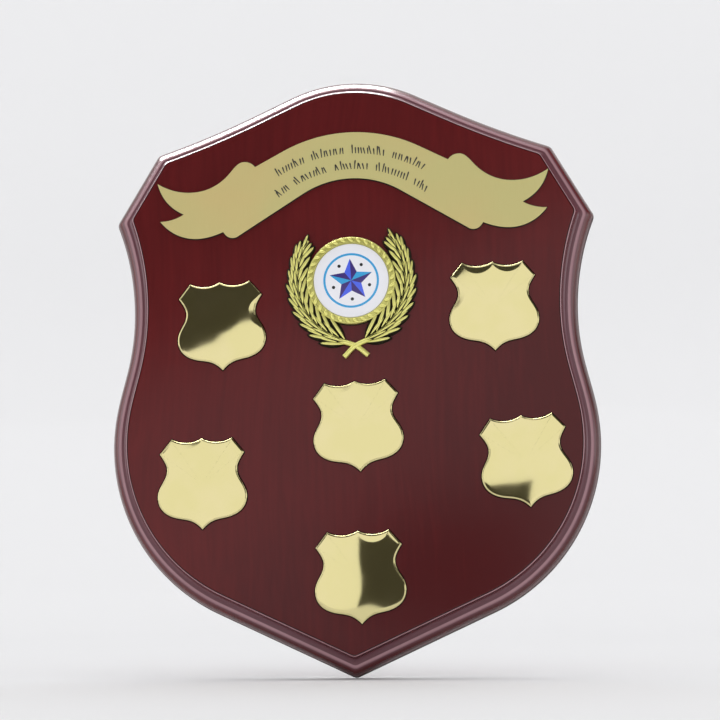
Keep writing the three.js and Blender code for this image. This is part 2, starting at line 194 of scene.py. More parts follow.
class BoardSettings(bpy.types.PropertyGroup):
    crown_height: length(94.3, "Top of the flat face")
    crown_radius: length(43, "Round of the crown")
    flank_slope: angle(25.5, "Fall of the straight stretch beside the crown")
    flank_length: length(14, "Straight stretch beside the crown")
    shoulder: place(63, 71, "Upper corner of the face")
    ear: place(73.9, 51.9, "Lower corner of the face")
    waist_half_width: length(68.3, "Half the face's width at the waist")
    waist_height: length(19, "Height of the waist")
    waist_radius: length(95, "Hollow of the waist")
    belly_half_width: length(74.6, "Half the face's greatest width")
    belly_height: length(-24, "Height of the greatest width")
    belly_radius: length(54.9, "Round of the belly")
    tip_height: length(-93.5, "Lowest point of the face")
    corner_reach: length(1.1, "How far a corner's easing reaches")
    lip_radius: length(0.65, "Round lip at the edge of the face")
    cove_width: length(2.05, "Width of the hollow in the moulding")
    cove_drop: length(4.45, "Depth of the hollow in the moulding")
    ledge_width: length(0.3, "Flat step between the hollow and the round")
    ovolo_width: length(4.1, "Width of the round in the moulding")
    side_height: length(1.7, "Straight side behind the round")
    back_round: length(0.6, "Softened edge of the back")
    wood: colour((0.124, 0.0095, 0.0105), "Red mahogany stain under the lacquer")
    # Also the tone of the painted shade that darkens the face towards the lower right.
    wood_dark: colour((0.070, 0.0058, 0.0068), "Darker streaks of the grain")
    # Painted reflection: the pale haze of the lacquer in the moulding's hollow.
    wood_dusty: colour((0.14, 0.055, 0.07), "Haze of old polish in the moulding's hollow")
    # Painted shade along the face's edge.
    wood_edge: colour((0.012, 0.002, 0.0025), "Dark line along the face's edge")
    wood_side: colour((0.030, 0.0055, 0.0065), "Darker stain on the board's side")
    # Painted highlight on the lip and the ledge.
    wood_thin: colour((0.41, 0.235, 0.26), "Pale wood where the stain is rubbed thin")


class RibbonSettings(bpy.types.PropertyGroup):
    middle: place(0, 64.1, "Where the ribbon's own middle lies")
    tilt: angle(0.95, "Turn of the ribbon, anticlockwise from the front")
    band_height: length(16.1, "Height of the band at its middle")
    top_radius: length(49, "Round of the band's upper edge")
    top_sweep: angle(28, "Half angle of the upper edge's arc")
    bottom_radius: length(31, "Round of the band's lower edge")
    bottom_sweep: angle(32, "Half angle of the lower edge's arc")
    top_reach: length(32.6, "Half width of the band's upper edge")
    bottom_reach: length(38.3, "Half width of the band's lower edge")
    edge_round: length(0.15, "Softened front edge of the plate")
    upper_row_radius: length(46.3, "Arc of the upper row of strokes")
    upper_row_height: length(8.65, "Top of the upper row's arc above the ribbon's middle")
    lower_row_radius: length(38.0, "Arc of the lower row of strokes")
    lower_row_height: length(3.2, "Top of the lower row's arc above the ribbon's middle")
    row_reach: length(24.4, "Half width of the rows")
    stroke_pitch: length(1.02, "Distance from one stroke to the next")
    stroke_length: length(3.2, "Length of the tallest stroke")
    stroke_width: length(0.52, "Width of a stroke")
    stroke_rise: length(0.03, "How far the enamel in a stroke stands proud")
    seed: IntProperty(description="Seed for the strokes' lengths and slants", default=11)
    brass: colour((0.65, 0.585, 0.25), "Satin brass of the plate")
    enamel: colour((0.030, 0.027, 0.022), "Dark filling of the strokes")


class WreathSettings(bpy.types.PropertyGroup):
    tilt: angle(3.4, "Turn of the wreath, anticlockwise from the front")
    clearance: length(0.15, "Gap round the disc in its cup")
    lip_width: length(0.45, "Width of the thin inner lip")
    lip_height: length(1.75, "Height of the thin inner lip")
    band_width: length(1.7, "Width of the roped band")
    cup_floor: length(0.7, "Thickness of the metal under the disc")
    rope_strands: IntProperty(description="Strands in the roped band", default=33)
    strand_length: length(2.3, "Length of a rope strand")
    strand_width: length(1.15, "Width of a rope strand")
    strand_lay: angle(42, "Turn of a strand from the band's own direction")
    stem_radius: length(0.86, "Half thickness of a stem")
    bare_stem: length(9.4, "Stem below the first leaves")
    tip_setback: length(3.1, "Stem left past the last leaf's foot")
    low_leaf: length(8.4, "Length of the lowest leaves")
    high_leaf: length(5.6, "Length of the highest leaves")
    leaf_width: length(2.4, "Width of a leaf")
    leaf_edge: length(0.55, "Height of a leaf's edge above the board")
    leaf_crest: length(1.6, "Height of a leaf's crest above the board")
    vein_depth: length(0.07, "Depth of the groove along a leaf")
    gold: colour((0.94, 0.90, 0.28), "Bright plating")
    # Painted shade that the low places and the leaves' edges and tips take.
    crevice: colour((0.022, 0.018, 0.008), "Dark tone left in the crevices")


class DiscSettings(bpy.types.PropertyGroup):
    edge_round: length(0.12, "Softened edge of the disc")
    star_radius: length(7.4, "From the star's middle to a point")
    star_waist: length(3.5, "From the star's middle to an inner corner")
    hoop_radius: length(8.9, "Middle line of the hoop")
    hoop_width: length(0.75, "Width of the hoop")
    dot_radius: length(0.55, "Size of the dark dots between the points")
    dot_reach: length(6.3, "From the star's middle to a dot")
    paper: colour((0.85, 0.85, 0.90), "Ground of the print")
    sky: colour((0.021, 0.352, 0.716), "Hoop and every other facet")
    royal: colour((0.053, 0.115, 0.831), "Light half of a facet")
    indigo: colour((0.038, 0.013, 0.195), "Dark half of a facet")


class SmallShieldSettings(bpy.types.PropertyGroup):
    ear_half_width: length(14, "Half the width between the ears")
    top_half_width: length(10, "Half the width of the scalloped top")
    top_height: length(4.95, "Top of the scallops above the ears")
    scallop_dip: length(1.35, "Depth of a scallop")
    waist: place(11.6, -5.4, "Narrowest place of the side")
    belly: place(14.75, -14.2, "Widest place of the side")
    foot: place(7.5, -21.3, "Where the side turns to the tip")
    tip_height: length(-25, "Lowest point")
    thickness: length(0.6, "Thickness of the rim")
    rim_width: length(0.42, "Width of the rounded rim")
    step_width: length(0.15, "Width of the step from the rim up to the pressed middle")
    step_height: length(0.16, "Height of the step from the rim up to the pressed middle")
    press_width: length(1.6, "Greatest width of the shallow slope round the middle")
    press_slope: angle(1.35, "Fall of the shallow slope towards the rim")
    crown_rise: length(0.1, "How much further the dome's middle stands out")
    brass: colour((0.73, 0.655, 0.325), "Polished brass")


class StageSettings(bpy.types.PropertyGroup):
    camera_place: FloatVectorProperty(
        description="Where the camera stands", size=3,
        default=(31.9 * MM, -496.7 * MM, -77.7 * MM), subtype="XYZ", unit="LENGTH", precision=5,
    )
    camera_yaw: FloatProperty(description="Camera's turn about the upright", default=-3.5)
    camera_pitch: FloatProperty(description="Camera's turn up or down", default=-9.4)
    camera_roll: FloatProperty(description="Camera's turn about its view", default=0.38)
    camera_angle: angle(27.304, "Width of the camera's view")
    paper: colour((0.84, 0.84, 0.845), "Floor and backdrop")


# Outlines: lists of Vector (x, z) in metres, counter-clockwise for someone who faces the front


def point_at(centre, radius, turn):
    return Vector((centre.x + radius * cos(turn), centre.y + radius * sin(turn)))


def arc(centre, radius, start, end, steps):
    return [point_at(centre, radius, start + (end - start) * i / steps) for i in range(steps + 1)]


def bezier(a, b, c, d, steps):
    """Points along a cubic curve, without its first one."""
    shares = [i / steps for i in range(1, steps + 1)]
    return [a * (1 - t) ** 3 + b * 3 * t * (1 - t) ** 2 + c * 3 * t * t * (1 - t) + d * t**3 for t in shares]


def between(a, b, first, second, steps):
    """A cubic curve whose control points are shares of the way across and up."""
    span = b - a
    controls = [Vector((a.x + span.x * across, a.y + span.y * up)) for across, up in (first, second)]
    return bezier(a, controls[0], controls[1], b, steps)


def turns(steps, end=pi / 2, first=0):
    """Even turns up to an end, from 0 or from a later step."""
    return [end * i / steps for i in range(first, steps + 1)]


def mirrored(points):
    return [Vector((-p.x, p.y)) for p in reversed(points)]


def heading(v):
    return atan2(v.y, v.x)


def line_meets_circle(start, direction, centre, radius, near):
    across = start - centre
    b = across.dot(direction)
    root = sqrt(b * b - across.length_squared + radius * radius)
    hits = [start + direction * (-b - root), start + direction * (-b + root)]
    return min(hits, key=lambda hit: (hit - near).length)


def eased_corner(before, corner, after, reach, steps):
    start = corner + (before - corner).normalized() * reach
    end = corner + (after - corner).normalized() * reach
    shares = [i / steps for i in range(steps + 1)]
    return [start * (1 - t) ** 2 + corner * 2 * t * (1 - t) + end * t * t for t in shares]


def board_outline(b, offset):
    """The board's outline grown outward by an offset, always with as many points."""
    crown_centre = Vector((0, b.crown_height - b.crown_radius))
    flank_normal = pi / 2 - b.flank_slope
    crown = arc(crown_centre, b.crown_radius + offset, pi / 2, flank_normal, 16)

    flank_start = point_at(crown_centre, b.crown_radius, flank_normal)
    flank_end = point_at(flank_start, b.flank_length, -b.flank_slope)
    shoulder, ear = Vector(b.shoulder), Vector(b.ear)
    chord = shoulder - flank_end
    bend = heading(chord) + b.flank_slope
    hollow_radius = chord.length / (2 * sin(bend))
    hollow_centre = point_at(flank_end, hollow_radius, flank_normal)
    diagonal = (ear - shoulder).normalized()
    diagonal_point = shoulder + Vector((-diagonal.y, diagonal.x)) * offset
    hollow_size = hollow_radius - offset
    shoulder_corner = line_meets_circle(diagonal_point, diagonal, hollow_centre, hollow_size, shoulder)
    hollow_end = heading(shoulder_corner - hollow_centre)
    hollow = arc(hollow_centre, hollow_size, flank_normal - pi, hollow_end, 8)

    waist_centre = Vector((b.waist_half_width + b.waist_radius, b.waist_height))
    ear_corner = line_meets_circle(diagonal_point, diagonal, waist_centre, b.waist_radius - offset, ear)
    waist_start = heading(ear_corner - waist_centre) % (2 * pi)
    waist = arc(waist_centre, b.waist_radius - offset, waist_start, pi, 14)

    waist_point = Vector((b.waist_half_width, b.waist_height))
    belly_point = Vector((b.belly_half_width, b.belly_height))
    line = [waist_point, *between(waist_point, belly_point, (0, 0.464), (1, 0.646), 20)]
    hip = []
    for before, point, after in zip(line, line[1:], line[2:]):
        run = (after - before).normalized()
        hip.append(point + Vector((-run.y, run.x)) * offset)

    belly_centre = Vector((b.belly_half_width - b.belly_radius, b.belly_height))
    to_tip = Vector((0, b.tip_height)) - belly_centre
    belly_end = heading(to_tip) + acos(b.belly_radius / to_tip.length)
    belly = arc(belly_centre, b.belly_radius + offset, 0, belly_end, 36)
    tip_corner = Vector((0, b.tip_height + offset / sin(belly_end)))

    shoulder_ease = eased_corner(hollow[-2], shoulder_corner, ear_corner, b.corner_reach, 6)
    ear_ease = eased_corner(shoulder_corner, ear_corner, waist[1], b.corner_reach, 6)
    tip_ease = eased_corner(belly[-1], tip_corner, mirrored(belly)[0], b.corner_reach, 8)
    right = [*crown, *hollow[:-1], *shoulder_ease, *ear_ease, *waist[1:], *hip, *belly, *tip_ease[:5]]
    right.reverse()
    return right + mirrored(right)[1:-1]


def moulding_profile(b):
    """Pairs of outward offset and depth behind the face."""
    profile = [(-FLAT_BORDER, 0)]
    for turn in turns(6):
        profile.append((b.lip_radius * sin(turn), b.lip_radius * (1 - cos(turn))))
    cove_end = b.lip_radius + b.cove_width
    ledge_depth = b.lip_radius + b.cove_drop
    for turn in turns(12, first=1):
        across = cove_end - b.cove_width * cos(turn)
        profile.append((across, b.lip_radius + b.cove_drop * sin(turn)))
    ovolo_start = cove_end + b.ledge_width
    ovolo_drop = BOARD_THICKNESS - b.back_round - b.side_height - ledge_depth
    for turn in turns(14):
        drop = ovolo_drop * (1 - cos(turn))
        profile.append((ovolo_start + b.ovolo_width * sin(turn), ledge_depth + drop))
    full = ovolo_start + b.ovolo_width
    for turn in turns(4):
        inward = b.back_round * (1 - cos(turn))
        profile.append((full - inward, BOARD_THICKNESS - b.back_round * (1 - sin(turn))))
    profile.append((full - b.back_round - FLAT_BORDER, BOARD_THICKNESS))
    return profile


def ribbon_outline(r):
    top_centre = Vector((0, r.band_height - r.top_radius))
    bottom_centre = Vector((0, -r.bottom_radius))
    quarter = pi / 2
    top = arc(top_centre, r.top_radius, quarter, quarter - r.top_sweep, 20)
    bottom = arc(bottom_centre, r.bottom_radius, quarter - r.bottom_sweep, quarter, 20)
    notch_drop = (r.top_reach - top[-1].x) * tan(r.top_sweep)
    notch = Vector((r.top_reach, top[-1].y - notch_drop))
    foot_drop = (r.bottom_reach - bottom[0].x) * tan(r.bottom_sweep)
    foot = Vector((r.bottom_reach, bottom[0].y - foot_drop))
    tail = [notch]
    for origin, curves in ((notch, UPPER_TAIL), (foot, LOWER_TAIL)):
        for curve in curves:
            controls = [origin + Vector(offset) * MM for offset in curve]
            tail += bezier(tail[-1], *controls, 12)
    right = [*top, *tail, *bottom]
    right.reverse()
    return right[:-1] + mirrored(right)[:-1]


def small_shield_outline(s):
    """The outline, and how far the pressed slope reaches inward at each point, from 0 to 1."""
    scallop_half = s.top_half_width / 2
    radius = (scallop_half**2 + s.scallop_dip**2) / (2 * s.scallop_dip)
    centre = Vector((scallop_half, s.top_height - s.scallop_dip + radius))
    sweep = asin(scallop_half / radius)
    down = -pi / 2
    right = arc(centre, radius, down - sweep, down + sweep, 14)
    press = [sin(turn) for turn in turns(14, pi)]
    ear = Vector((s.ear_half_width, 0))
    waist, belly, foot = Vector(s.waist), Vector(s.belly), Vector(s.foot)
    tip = Vector((0, s.tip_height))
    corner = right[-1]
    right += [corner.lerp(ear, i / 6) for i in range(1, 7)]
    press += [0.25 * sin(turn) for turn in turns(6, pi, first=1)]
    steps = 12
    right += between(ear, waist, (0.42, 0.3), (1, 0.63), steps)
    press += [sin(turn) ** 2 for turn in turns(steps, first=1)]
    right += between(waist, belly, (0, 0.36), (1, 0.57), steps)
    press += [cos(turn) ** 2 for turn in turns(steps, first=1)]
    right += between(belly, foot, (0, 0.59), (0.44, 0.9), steps)
    right += between(foot, tip, (0.39, 0.14), (0.65, 0.19), steps)
    press += [0.0] * (2 * steps)
    right.reverse()
    press.reverse()
    return right + mirrored(right)[1:-1], press + press[::-1][1:-1]


def inset(outline, distances):
    """An outline moved inward along the mean normal of the sides at each point."""
    if not isinstance(distances, list):
        distances = [distances] * len(outline)
    moved = []
    for i, point in enumerate(outline):
        before = (point - outline[i - 1]).normalized()
        after = (outline[(i + 1) % len(outline)] - point).normalized()
        inward = Vector((-before.y - after.y, before.x + after.x)).normalized()
        moved.append(point + inward * distances[i])
    return moved


def shade_line(outline):
    """The last levels of a plate's shell: its foot, and a thin flange round it that carries a painted shadow
    line.
    """
    spread = inset(outline, -SHADE_LINE_WIDTH)
    return [(outline, -1.5 * SHADE_LINE_HEIGHT), (spread, -SHADE_LINE_HEIGHT), (spread, 0.0)]


# Meshes and objects


def seat(middle, tilt):
    """Places a mesh drawn round its own middle on the board's face, turned anticlockwise by a tilt."""
    return Matrix.Translation((middle[0], FACE, middle[1])) @ Matrix.Rotation(-tilt, 4, "Y")


def new_object(name, data):
    made = bpy.data.objects.new(name, data)
    bpy.context.scene.collection.objects.link(made)
    return made


def plain_mesh(name, vertices, edges, faces):
    mesh = bpy.data.meshes.new(name)
    mesh.from_pydata(vertices, edges, faces)
    return mesh


def smoothed(mesh, crease=35):
    """Makes a mesh smooth but for the edges past an angle."""
    mesh.polygons.foreach_set("use_smooth", [True] * len(mesh.polygons))
    mesh.set_sharp_from_angle(angle=radians(crease))
    return mesh


def finish_mesh(bm, name, matrix=Matrix(), crease=35):
    """Turns a bmesh into a closed, outward and smooth mesh."""
    bm.transform(matrix)
    bmesh.ops.remove_doubles(bm, verts=bm.verts, dist=1e-7)
    bmesh.ops.recalc_face_normals(bm, faces=bm.faces)
    mesh = bpy.data.meshes.new(name)
    bm.to_mesh(mesh)
    bm.free()
    return smoothed(mesh, crease)


def stacked(levels):
    """A closed shell through outlines from front to back, each with its y or its list of y."""
    bm = bmesh.new()
    loops = []
    for outline, y in levels:
        depths = y if isinstance(y, list) else [y] * len(outline)
        loops.append([bm.verts.new((p.x, depth, p.y)) for p, depth in zip(outline, depths)])
    for front, back in zip(loops, loops[1:]):
        for i in range(len(front)):
            bm.faces.new((front[i - 1], back[i - 1], back[i], front[i]))
    caps = [bm.faces.new(loops[0]), bm.faces.new(reversed(loops[-1]))]
    bm.normal_update()
    bmesh.ops.triangulate(bm, faces=caps)
    return bm


def turned(profile, sides=128):
    """A closed body turned about Y from pairs of radius and height in front of y = 0."""
    bm = bmesh.new()
    loops = []
    for radius, height in profile:
        loops.append([
            bm.verts.new((radius * cos(t), -height, radius * sin(t)))
            for t in turns(sides, 2 * pi)[:-1]
        ])
    for inner, outer in zip(loops, loops[1:]):
        for i in range(sides):
            bm.faces.new((inner[i - 1], outer[i - 1], outer[i], inner[i]))
    bm.faces.new(loops[0])
    bm.faces.new(loops[-1])
    return bm


def add_piece(name, mesh, material, node=None):
    """Links a mesh at the origin and lets it ride on the plaque, in place of its CAD node."""
    piece = new_object(name, mesh)
    if material.name not in mesh.materials:
        mesh.materials.clear()
        mesh.materials.append(material)
    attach(piece, "root")
    if node:
        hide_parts(node)
    return piece


# Node trees


class Nodes:
    """Adds nodes to a tree. What goes into an input is an output socket or a plain value."""

    def __init__(self, tree):
        self.tree = tree

    def fill(self, node, links):
        """links maps an input's name or number to what goes into it."""
        for key, value in links.items():
            if isinstance(value, bpy.types.NodeSocket):
                self.tree.links.new(value, node.inputs[key])
            else:
                node.inputs[key].default_value = value

    def node(self, kind, links=None, **settings):
        node = self.tree.nodes.new(kind)
        for key, value in settings.items():
            setattr(node, key, value)
        self.fill(node, links or {})
        return node

    def math(self, operation, a, b=0.0):
        return self.node("ShaderNodeMath", {0: a, 1: b}, operation=operation).outputs[0]

    def total(self, first, *others):
        for other in others:
            first = self.math("ADD", first, other)
        return first

    def vector(self, operation, a, b):
        return self.node("ShaderNodeVectorMath", {0: a, 1: b}, operation=operation).outputs[0]

    def scaled(self, vector, factor):
        return self.node("ShaderNodeVectorMath", {0: vector, "Scale": factor}, operation="SCALE").outputs[0]

    def parts(self, vector):
        return self.node("ShaderNodeSeparateXYZ", {0: vector}).outputs

    def combined(self, x=0.0, y=0.0, z=0.0):
        return self.node("ShaderNodeCombineXYZ", {0: x, 1: y, 2: z}).outputs[0]

    def ramp(self, value, low, high, out_low=0.0, out_high=1.0):
        """Goes from one outcome to another while a value goes from low to high."""
        ends = {"From Min": low, "From Max": high, "To Min": out_low, "To Max": out_high}
        return self.node("ShaderNodeMapRange", {"Value": value, **ends}).outputs[0]

    def blend(self, share, a, b):
        """Goes from a to b while a share goes from 0 to 1."""
        return self.ramp(share, 0.0, 1.0, a, b)

    def band(self, value, marks, origin=0.0, unit=MM):
        """1 along a band of a value, with soft ends. The four marks are in units from an origin."""
        start, full, fading, gone = (origin + mark * unit for mark in marks)
        return self.math("MULTIPLY", self.ramp(value, start, full), self.ramp(value, gone, fading))

    def mix(self, factor, a, b):
        """Mixes two colours."""
        a, b = (tone if isinstance(tone, bpy.types.NodeSocket) else (*tone, 1) for tone in (a, b))
        return self.node("ShaderNodeMix", {0: factor, 6: a, 7: b}, data_type="RGBA").outputs[2]

    def noise(self, where, scale, detail, output=0):
        """A noise's value, or its colour, with a scale per metre and so many finer layers."""
        links = {"Vector": where, "Scale": scale, "Detail": detail}
        return self.node("ShaderNodeTexNoise", links).outputs[output]

    def stretched(self, vector, scale):
        return self.node("ShaderNodeMapping", {"Vector": vector, "Scale": scale}).outputs[0]


class MeshTree(Nodes):
    """A geometry node tree with named inputs that ends in one mesh."""

    KINDS = ((bpy.types.Object, "Object"), (int, "Int"), (float, "Float"), (tuple, "Vector"))

    def __init__(self, name, inputs):
        super().__init__(bpy.data.node_groups.new(name, "GeometryNodeTree"))
        self.values = {}
        sockets = self.tree.interface
        sockets.new_socket("Geometry", in_out="INPUT", socket_type="NodeSocketGeometry")
        for label, value in inputs.items():
            kind = next(kind for base, kind in self.KINDS if isinstance(value, base))
            socket = sockets.new_socket(label, in_out="INPUT", socket_type="NodeSocket" + kind)
            self.values[socket.identifier] = value
        sockets.new_socket("Geometry", in_out="OUTPUT", socket_type="NodeSocketGeometry")
        self.given = self.tree.nodes.new("NodeGroupInput").outputs

    def index(self):
        return self.node("GeometryNodeInputIndex").outputs[0]

    def points(self, count, position):
        """Loose points, each at its own value of a position."""
        line = self.node("GeometryNodeMeshLine", {"Count": count}).outputs[0]
        return self.node("GeometryNodeSetPosition", {"Geometry": line, "Position": position}).outputs[0]

    def instances(self, points, thing, rotation, scale):
        shape = self.node("GeometryNodeObjectInfo", {"Object": thing}).outputs["Geometry"]
        links = {"Points": points, "Instance": shape, "Rotation": rotation, "Scale": scale}
        return self.node("GeometryNodeInstanceOnPoints", links).outputs[0]

    def moved(self, geometry, **links):
        return self.node("GeometryNodeTransform", {"Geometry": geometry, **links}).outputs[0]

    def real(self, geometry):
        return self.node("GeometryNodeRealizeInstances", {"Geometry": geometry}).outputs[0]

    def random(self, low, high, seed):
        links = {"Min": low, "Max": high, "Seed": seed}
        outputs = self.node("FunctionNodeRandomValue", links, data_type="FLOAT").outputs
        return next(output for output in outputs if output.type == "VALUE")

    def join(self, geometries):
        joined = self.node("GeometryNodeJoinGeometry")
        for geometry in geometries:
            self.tree.links.new(geometry, joined.inputs[0])
        return joined.outputs[0]

    def run(self, mesh, geometry, material):
        """Ends the tree, runs it on a mesh and returns the plain mesh that comes out.

        The objects that only lent their meshes to the tree are taken away.
        """
        links = {"Geometry": self.real(geometry), "Material": material}
        self.node("NodeGroupOutput", {0: self.node("GeometryNodeSetMaterial", links).outputs[0]})
        carrier = new_object(mesh.name, mesh)
        modifier = carrier.modifiers.new(mesh.name, "NODES")
        modifier.node_group = self.tree
        for identifier, value in self.values.items():
            modifier[identifier] = value
        evaluated = carrier.evaluated_get(bpy.context.evaluated_depsgraph_get())
        made = bpy.data.meshes.new_from_object(evaluated)
        carrier.modifiers.remove(modifier)
        lent = [value for value in self.values.values() if isinstance(value, bpy.types.Object)]
        for thing in (carrier, *lent):
            bpy.data.objects.remove(thing)
        return made


# Materials


def handling_marks():
    """The shader group of soft smudges and fine rubbed lines, which polished surfaces share."""
    name = "Handling marks"
    if name in bpy.data.node_groups:
        return bpy.data.node_groups[name]
    group = bpy.data.node_groups.new(name, "ShaderNodeTree")
    for label, kind in {"Vector": "Vector", "Smudge Scale": "Float", "Line Scale": "Float"}.items():
        group.interface.new_socket(label, in_out="INPUT", socket_type="NodeSocket" + kind)
    for label in ("Smudge", "Lines"):
        group.interface.new_socket(label, in_out="OUTPUT", socket_type="NodeSocketFloat")
    t = Nodes(group)
    where, smudge_scale, line_scale = list(t.node("NodeGroupInput").outputs)[:3]
    t.node("NodeGroupOutput", {
        "Smudge": t.noise(where, smudge_scale, 3.0),
        "Lines": t.noise(t.stretched(where, (1.0, 1.0, 0.06)), line_scale, 2.0),
    })
    return group


def tinted(tone, factors):
    return tuple(min(1.0, part * factor) for part, factor in zip(tone, factors))


class Paint(Nodes):
    """A material with its tree, its Principled shader and its object coordinates."""

    def __init__(self, name, preview):
        """preview is the colour that the viewport shows."""
        self.material = bpy.data.materials.new(name)
        self.material.use_nodes = True
        self.material.diffuse_color = (*preview, 1)
        super().__init__(self.material.node_tree)
        self.where = self.tree.nodes.new("ShaderNodeTexCoord").outputs["Object"]

    def marks(self, smudge_scale, line_scale):
        links = {"Vector": self.where, "Smudge Scale": smudge_scale, "Line Scale": line_scale}
        return self.node("ShaderNodeGroup", links, node_tree=handling_marks()).outputs

    def bump(self, height, strength, distance):
        links = {"Height": height, "Strength": strength, "Distance": distance}
        return self.node("ShaderNodeBump", links).outputs[0]

    def dark_below(self, tone, height):
        """Paints shade on a plate's cut sides up to a height above the board, and on the flange round its
        foot.
        """
        above = self.math("SUBTRACT", FACE, self.parts(self.where)["Y"])
        return self.mix(self.ramp(above, height - 0.02 * MM, height), FOOT_SHADE, tone)

    def done(self, looks):
        self.fill(self.tree.nodes["Principled BSDF"], looks)
        return self.material


def lacquered_wood(b):
    """Upright-grained red mahogany under clear lacquer, with painted shade towards the lower right and along
    the face's edge, painted highlights on the lip and the ledge and a painted reflection in the moulding's
    hollow.
    """
    t = Paint("Lacquered wood", b.wood)
    drift = t.scaled(t.noise(t.where, 14.0, 1.0, "Color"), 0.012)
    wavy = t.vector("ADD", t.where, drift)
    bands = t.noise(t.stretched(wavy, (230.0, 150.0, 7.0)), 1.0, 5.0)
    fibres = t.noise(t.stretched(wavy, (720.0, 600.0, 38.0)), 1.0, 4.0)
    cloud = t.noise(t.where, 22.0, 2.0)
    x, y, z = t.parts(t.where)
    # Painted shade: the face grows darker towards the lower right.
    shade_slant = t.math("SUBTRACT", x, z)
    # The sum mixes the wood's streaks with that painted shade.
    grain_and_shade = t.total(
        t.ramp(bands, 0.3, 0.75, 0.09, 0.31),
        t.ramp(fibres, 0.32, 0.7, 0.11, 0.39),
        t.ramp(cloud, 0.3, 0.7, -0.12, 0.2),
        t.ramp(shade_slant, 0.0, 0.12, 0.0, 0.75),
    )
    shade = t.mix(t.blend(grain_and_shade, 0.0, 1.0), b.wood, b.wood_dark)

    depth = t.math("SUBTRACT", y, FACE)
    ledge = b.lip_radius + b.cove_drop
    patchy = t.ramp(cloud, 0.3, 0.7, 0.75, 1.0)
    # Painted highlights along the lip and the ledge, broken up at random.
    highlight = t.math("MAXIMUM", t.band(depth, LEDGE_HIGHLIGHT, ledge), t.band(depth, LIP_HIGHLIGHT))
    side = t.band(depth, SIDE_STAIN, BOARD_THICKNESS)
    # Painted reflection: a pale haze in the moulding's hollow.
    shade = t.mix(t.math("MULTIPLY", t.band(depth, HOLLOW_SHEEN, ledge), patchy), shade, b.wood_dusty)
    shade = t.mix(t.math("MULTIPLY", highlight, patchy), shade, b.wood_thin)
    shade = t.mix(side, shade, b.wood_side)
    # Painted shade: a dark line along the face's edge.
    shade = t.mix(t.band(depth, EDGE_SHADE), shade, b.wood_edge)

    moulded = t.ramp(depth, 0.07 * MM, 0.14 * MM)
    gloss = t.math("MULTIPLY", moulded, t.blend(side, 1.0, 0.1))
    return t.done({
        "Base Color": shade,
        "Coat Weight": t.blend(gloss, 0.0, 0.31),
        "Roughness": t.total(t.blend(moulded, 0.16, 0.25), t.blend(side, 0.0, 0.35)),
        "IOR": 1.45,
        "Specular IOR Level": 0.3,
        "Coat IOR": 1.55,
        "Coat Roughness": 0.12,
        "Normal": t.bump(t.noise(t.where, 160.0, 1.0), 0.02, 0.001),
    })


def satin_brass(r):
    """Satin brass of the ribbon: faint cloudy tone and fine rubbed lines."""
    t = Paint("Satin brass", r.brass)
    smudge, lines = t.marks(22.0, 2600.0)
    tone = t.mix(t.ramp(smudge, 0.42, 0.66), r.brass, tinted(r.brass, (1.08, 0.97, 0.98)))
    return t.done({
        # Painted shade on the plate's cut sides and on the flange round its foot
        "Base Color": t.dark_below(tone, RIBBON_THICKNESS - r.edge_round),
        "Metallic": 0.45,
        "Roughness": t.ramp(lines, 0.3, 0.7, 0.46, 0.56),
    })


def dark_enamel(r):
    """Dark filling of the engraved strokes, slightly uneven."""
    t = Paint("Dark enamel", r.enamel)
    speckle = t.ramp(t.noise(t.where, 1800.0, 2.0), 0.35, 0.7)
    lighter = tinted(r.enamel, (2.2, 2.2, 2.2))
    return t.done({"Base Color": t.mix(speckle, r.enamel, lighter), "Roughness": 0.42})


def wreath_gold(w):
    """Bright plating with painted shade in the low places near the board and on the leaves' edges and tips.
    """
    t = Paint("Wreath gold", w.gold)
    speckle = t.noise(t.where, 1500.0, 2.0)
    uneven = t.ramp(speckle, 0.3, 0.7, -0.08 * MM, 0.08 * MM)
    height = t.math("SUBTRACT", t.math("SUBTRACT", FACE, t.parts(t.where)["Y"]), uneven)
    crown = t.node("ShaderNodeAttribute", attribute_name="crown").outputs["Fac"]
    # Painted shade: the low places, and where the crown value is low, take the crevice tone.
    bright = t.math("MULTIPLY", t.ramp(height, 0.35 * MM, 0.7 * MM), t.ramp(crown, 0.42, 0.56))
    return t.done({
        "Base Color": t.mix(bright, w.crevice, w.gold),
        "Metallic": 0.6,
        "Roughness": t.blend(bright, 0.55, 0.3),
        "Normal": t.bump(speckle, 0.05, 0.0002),
    })


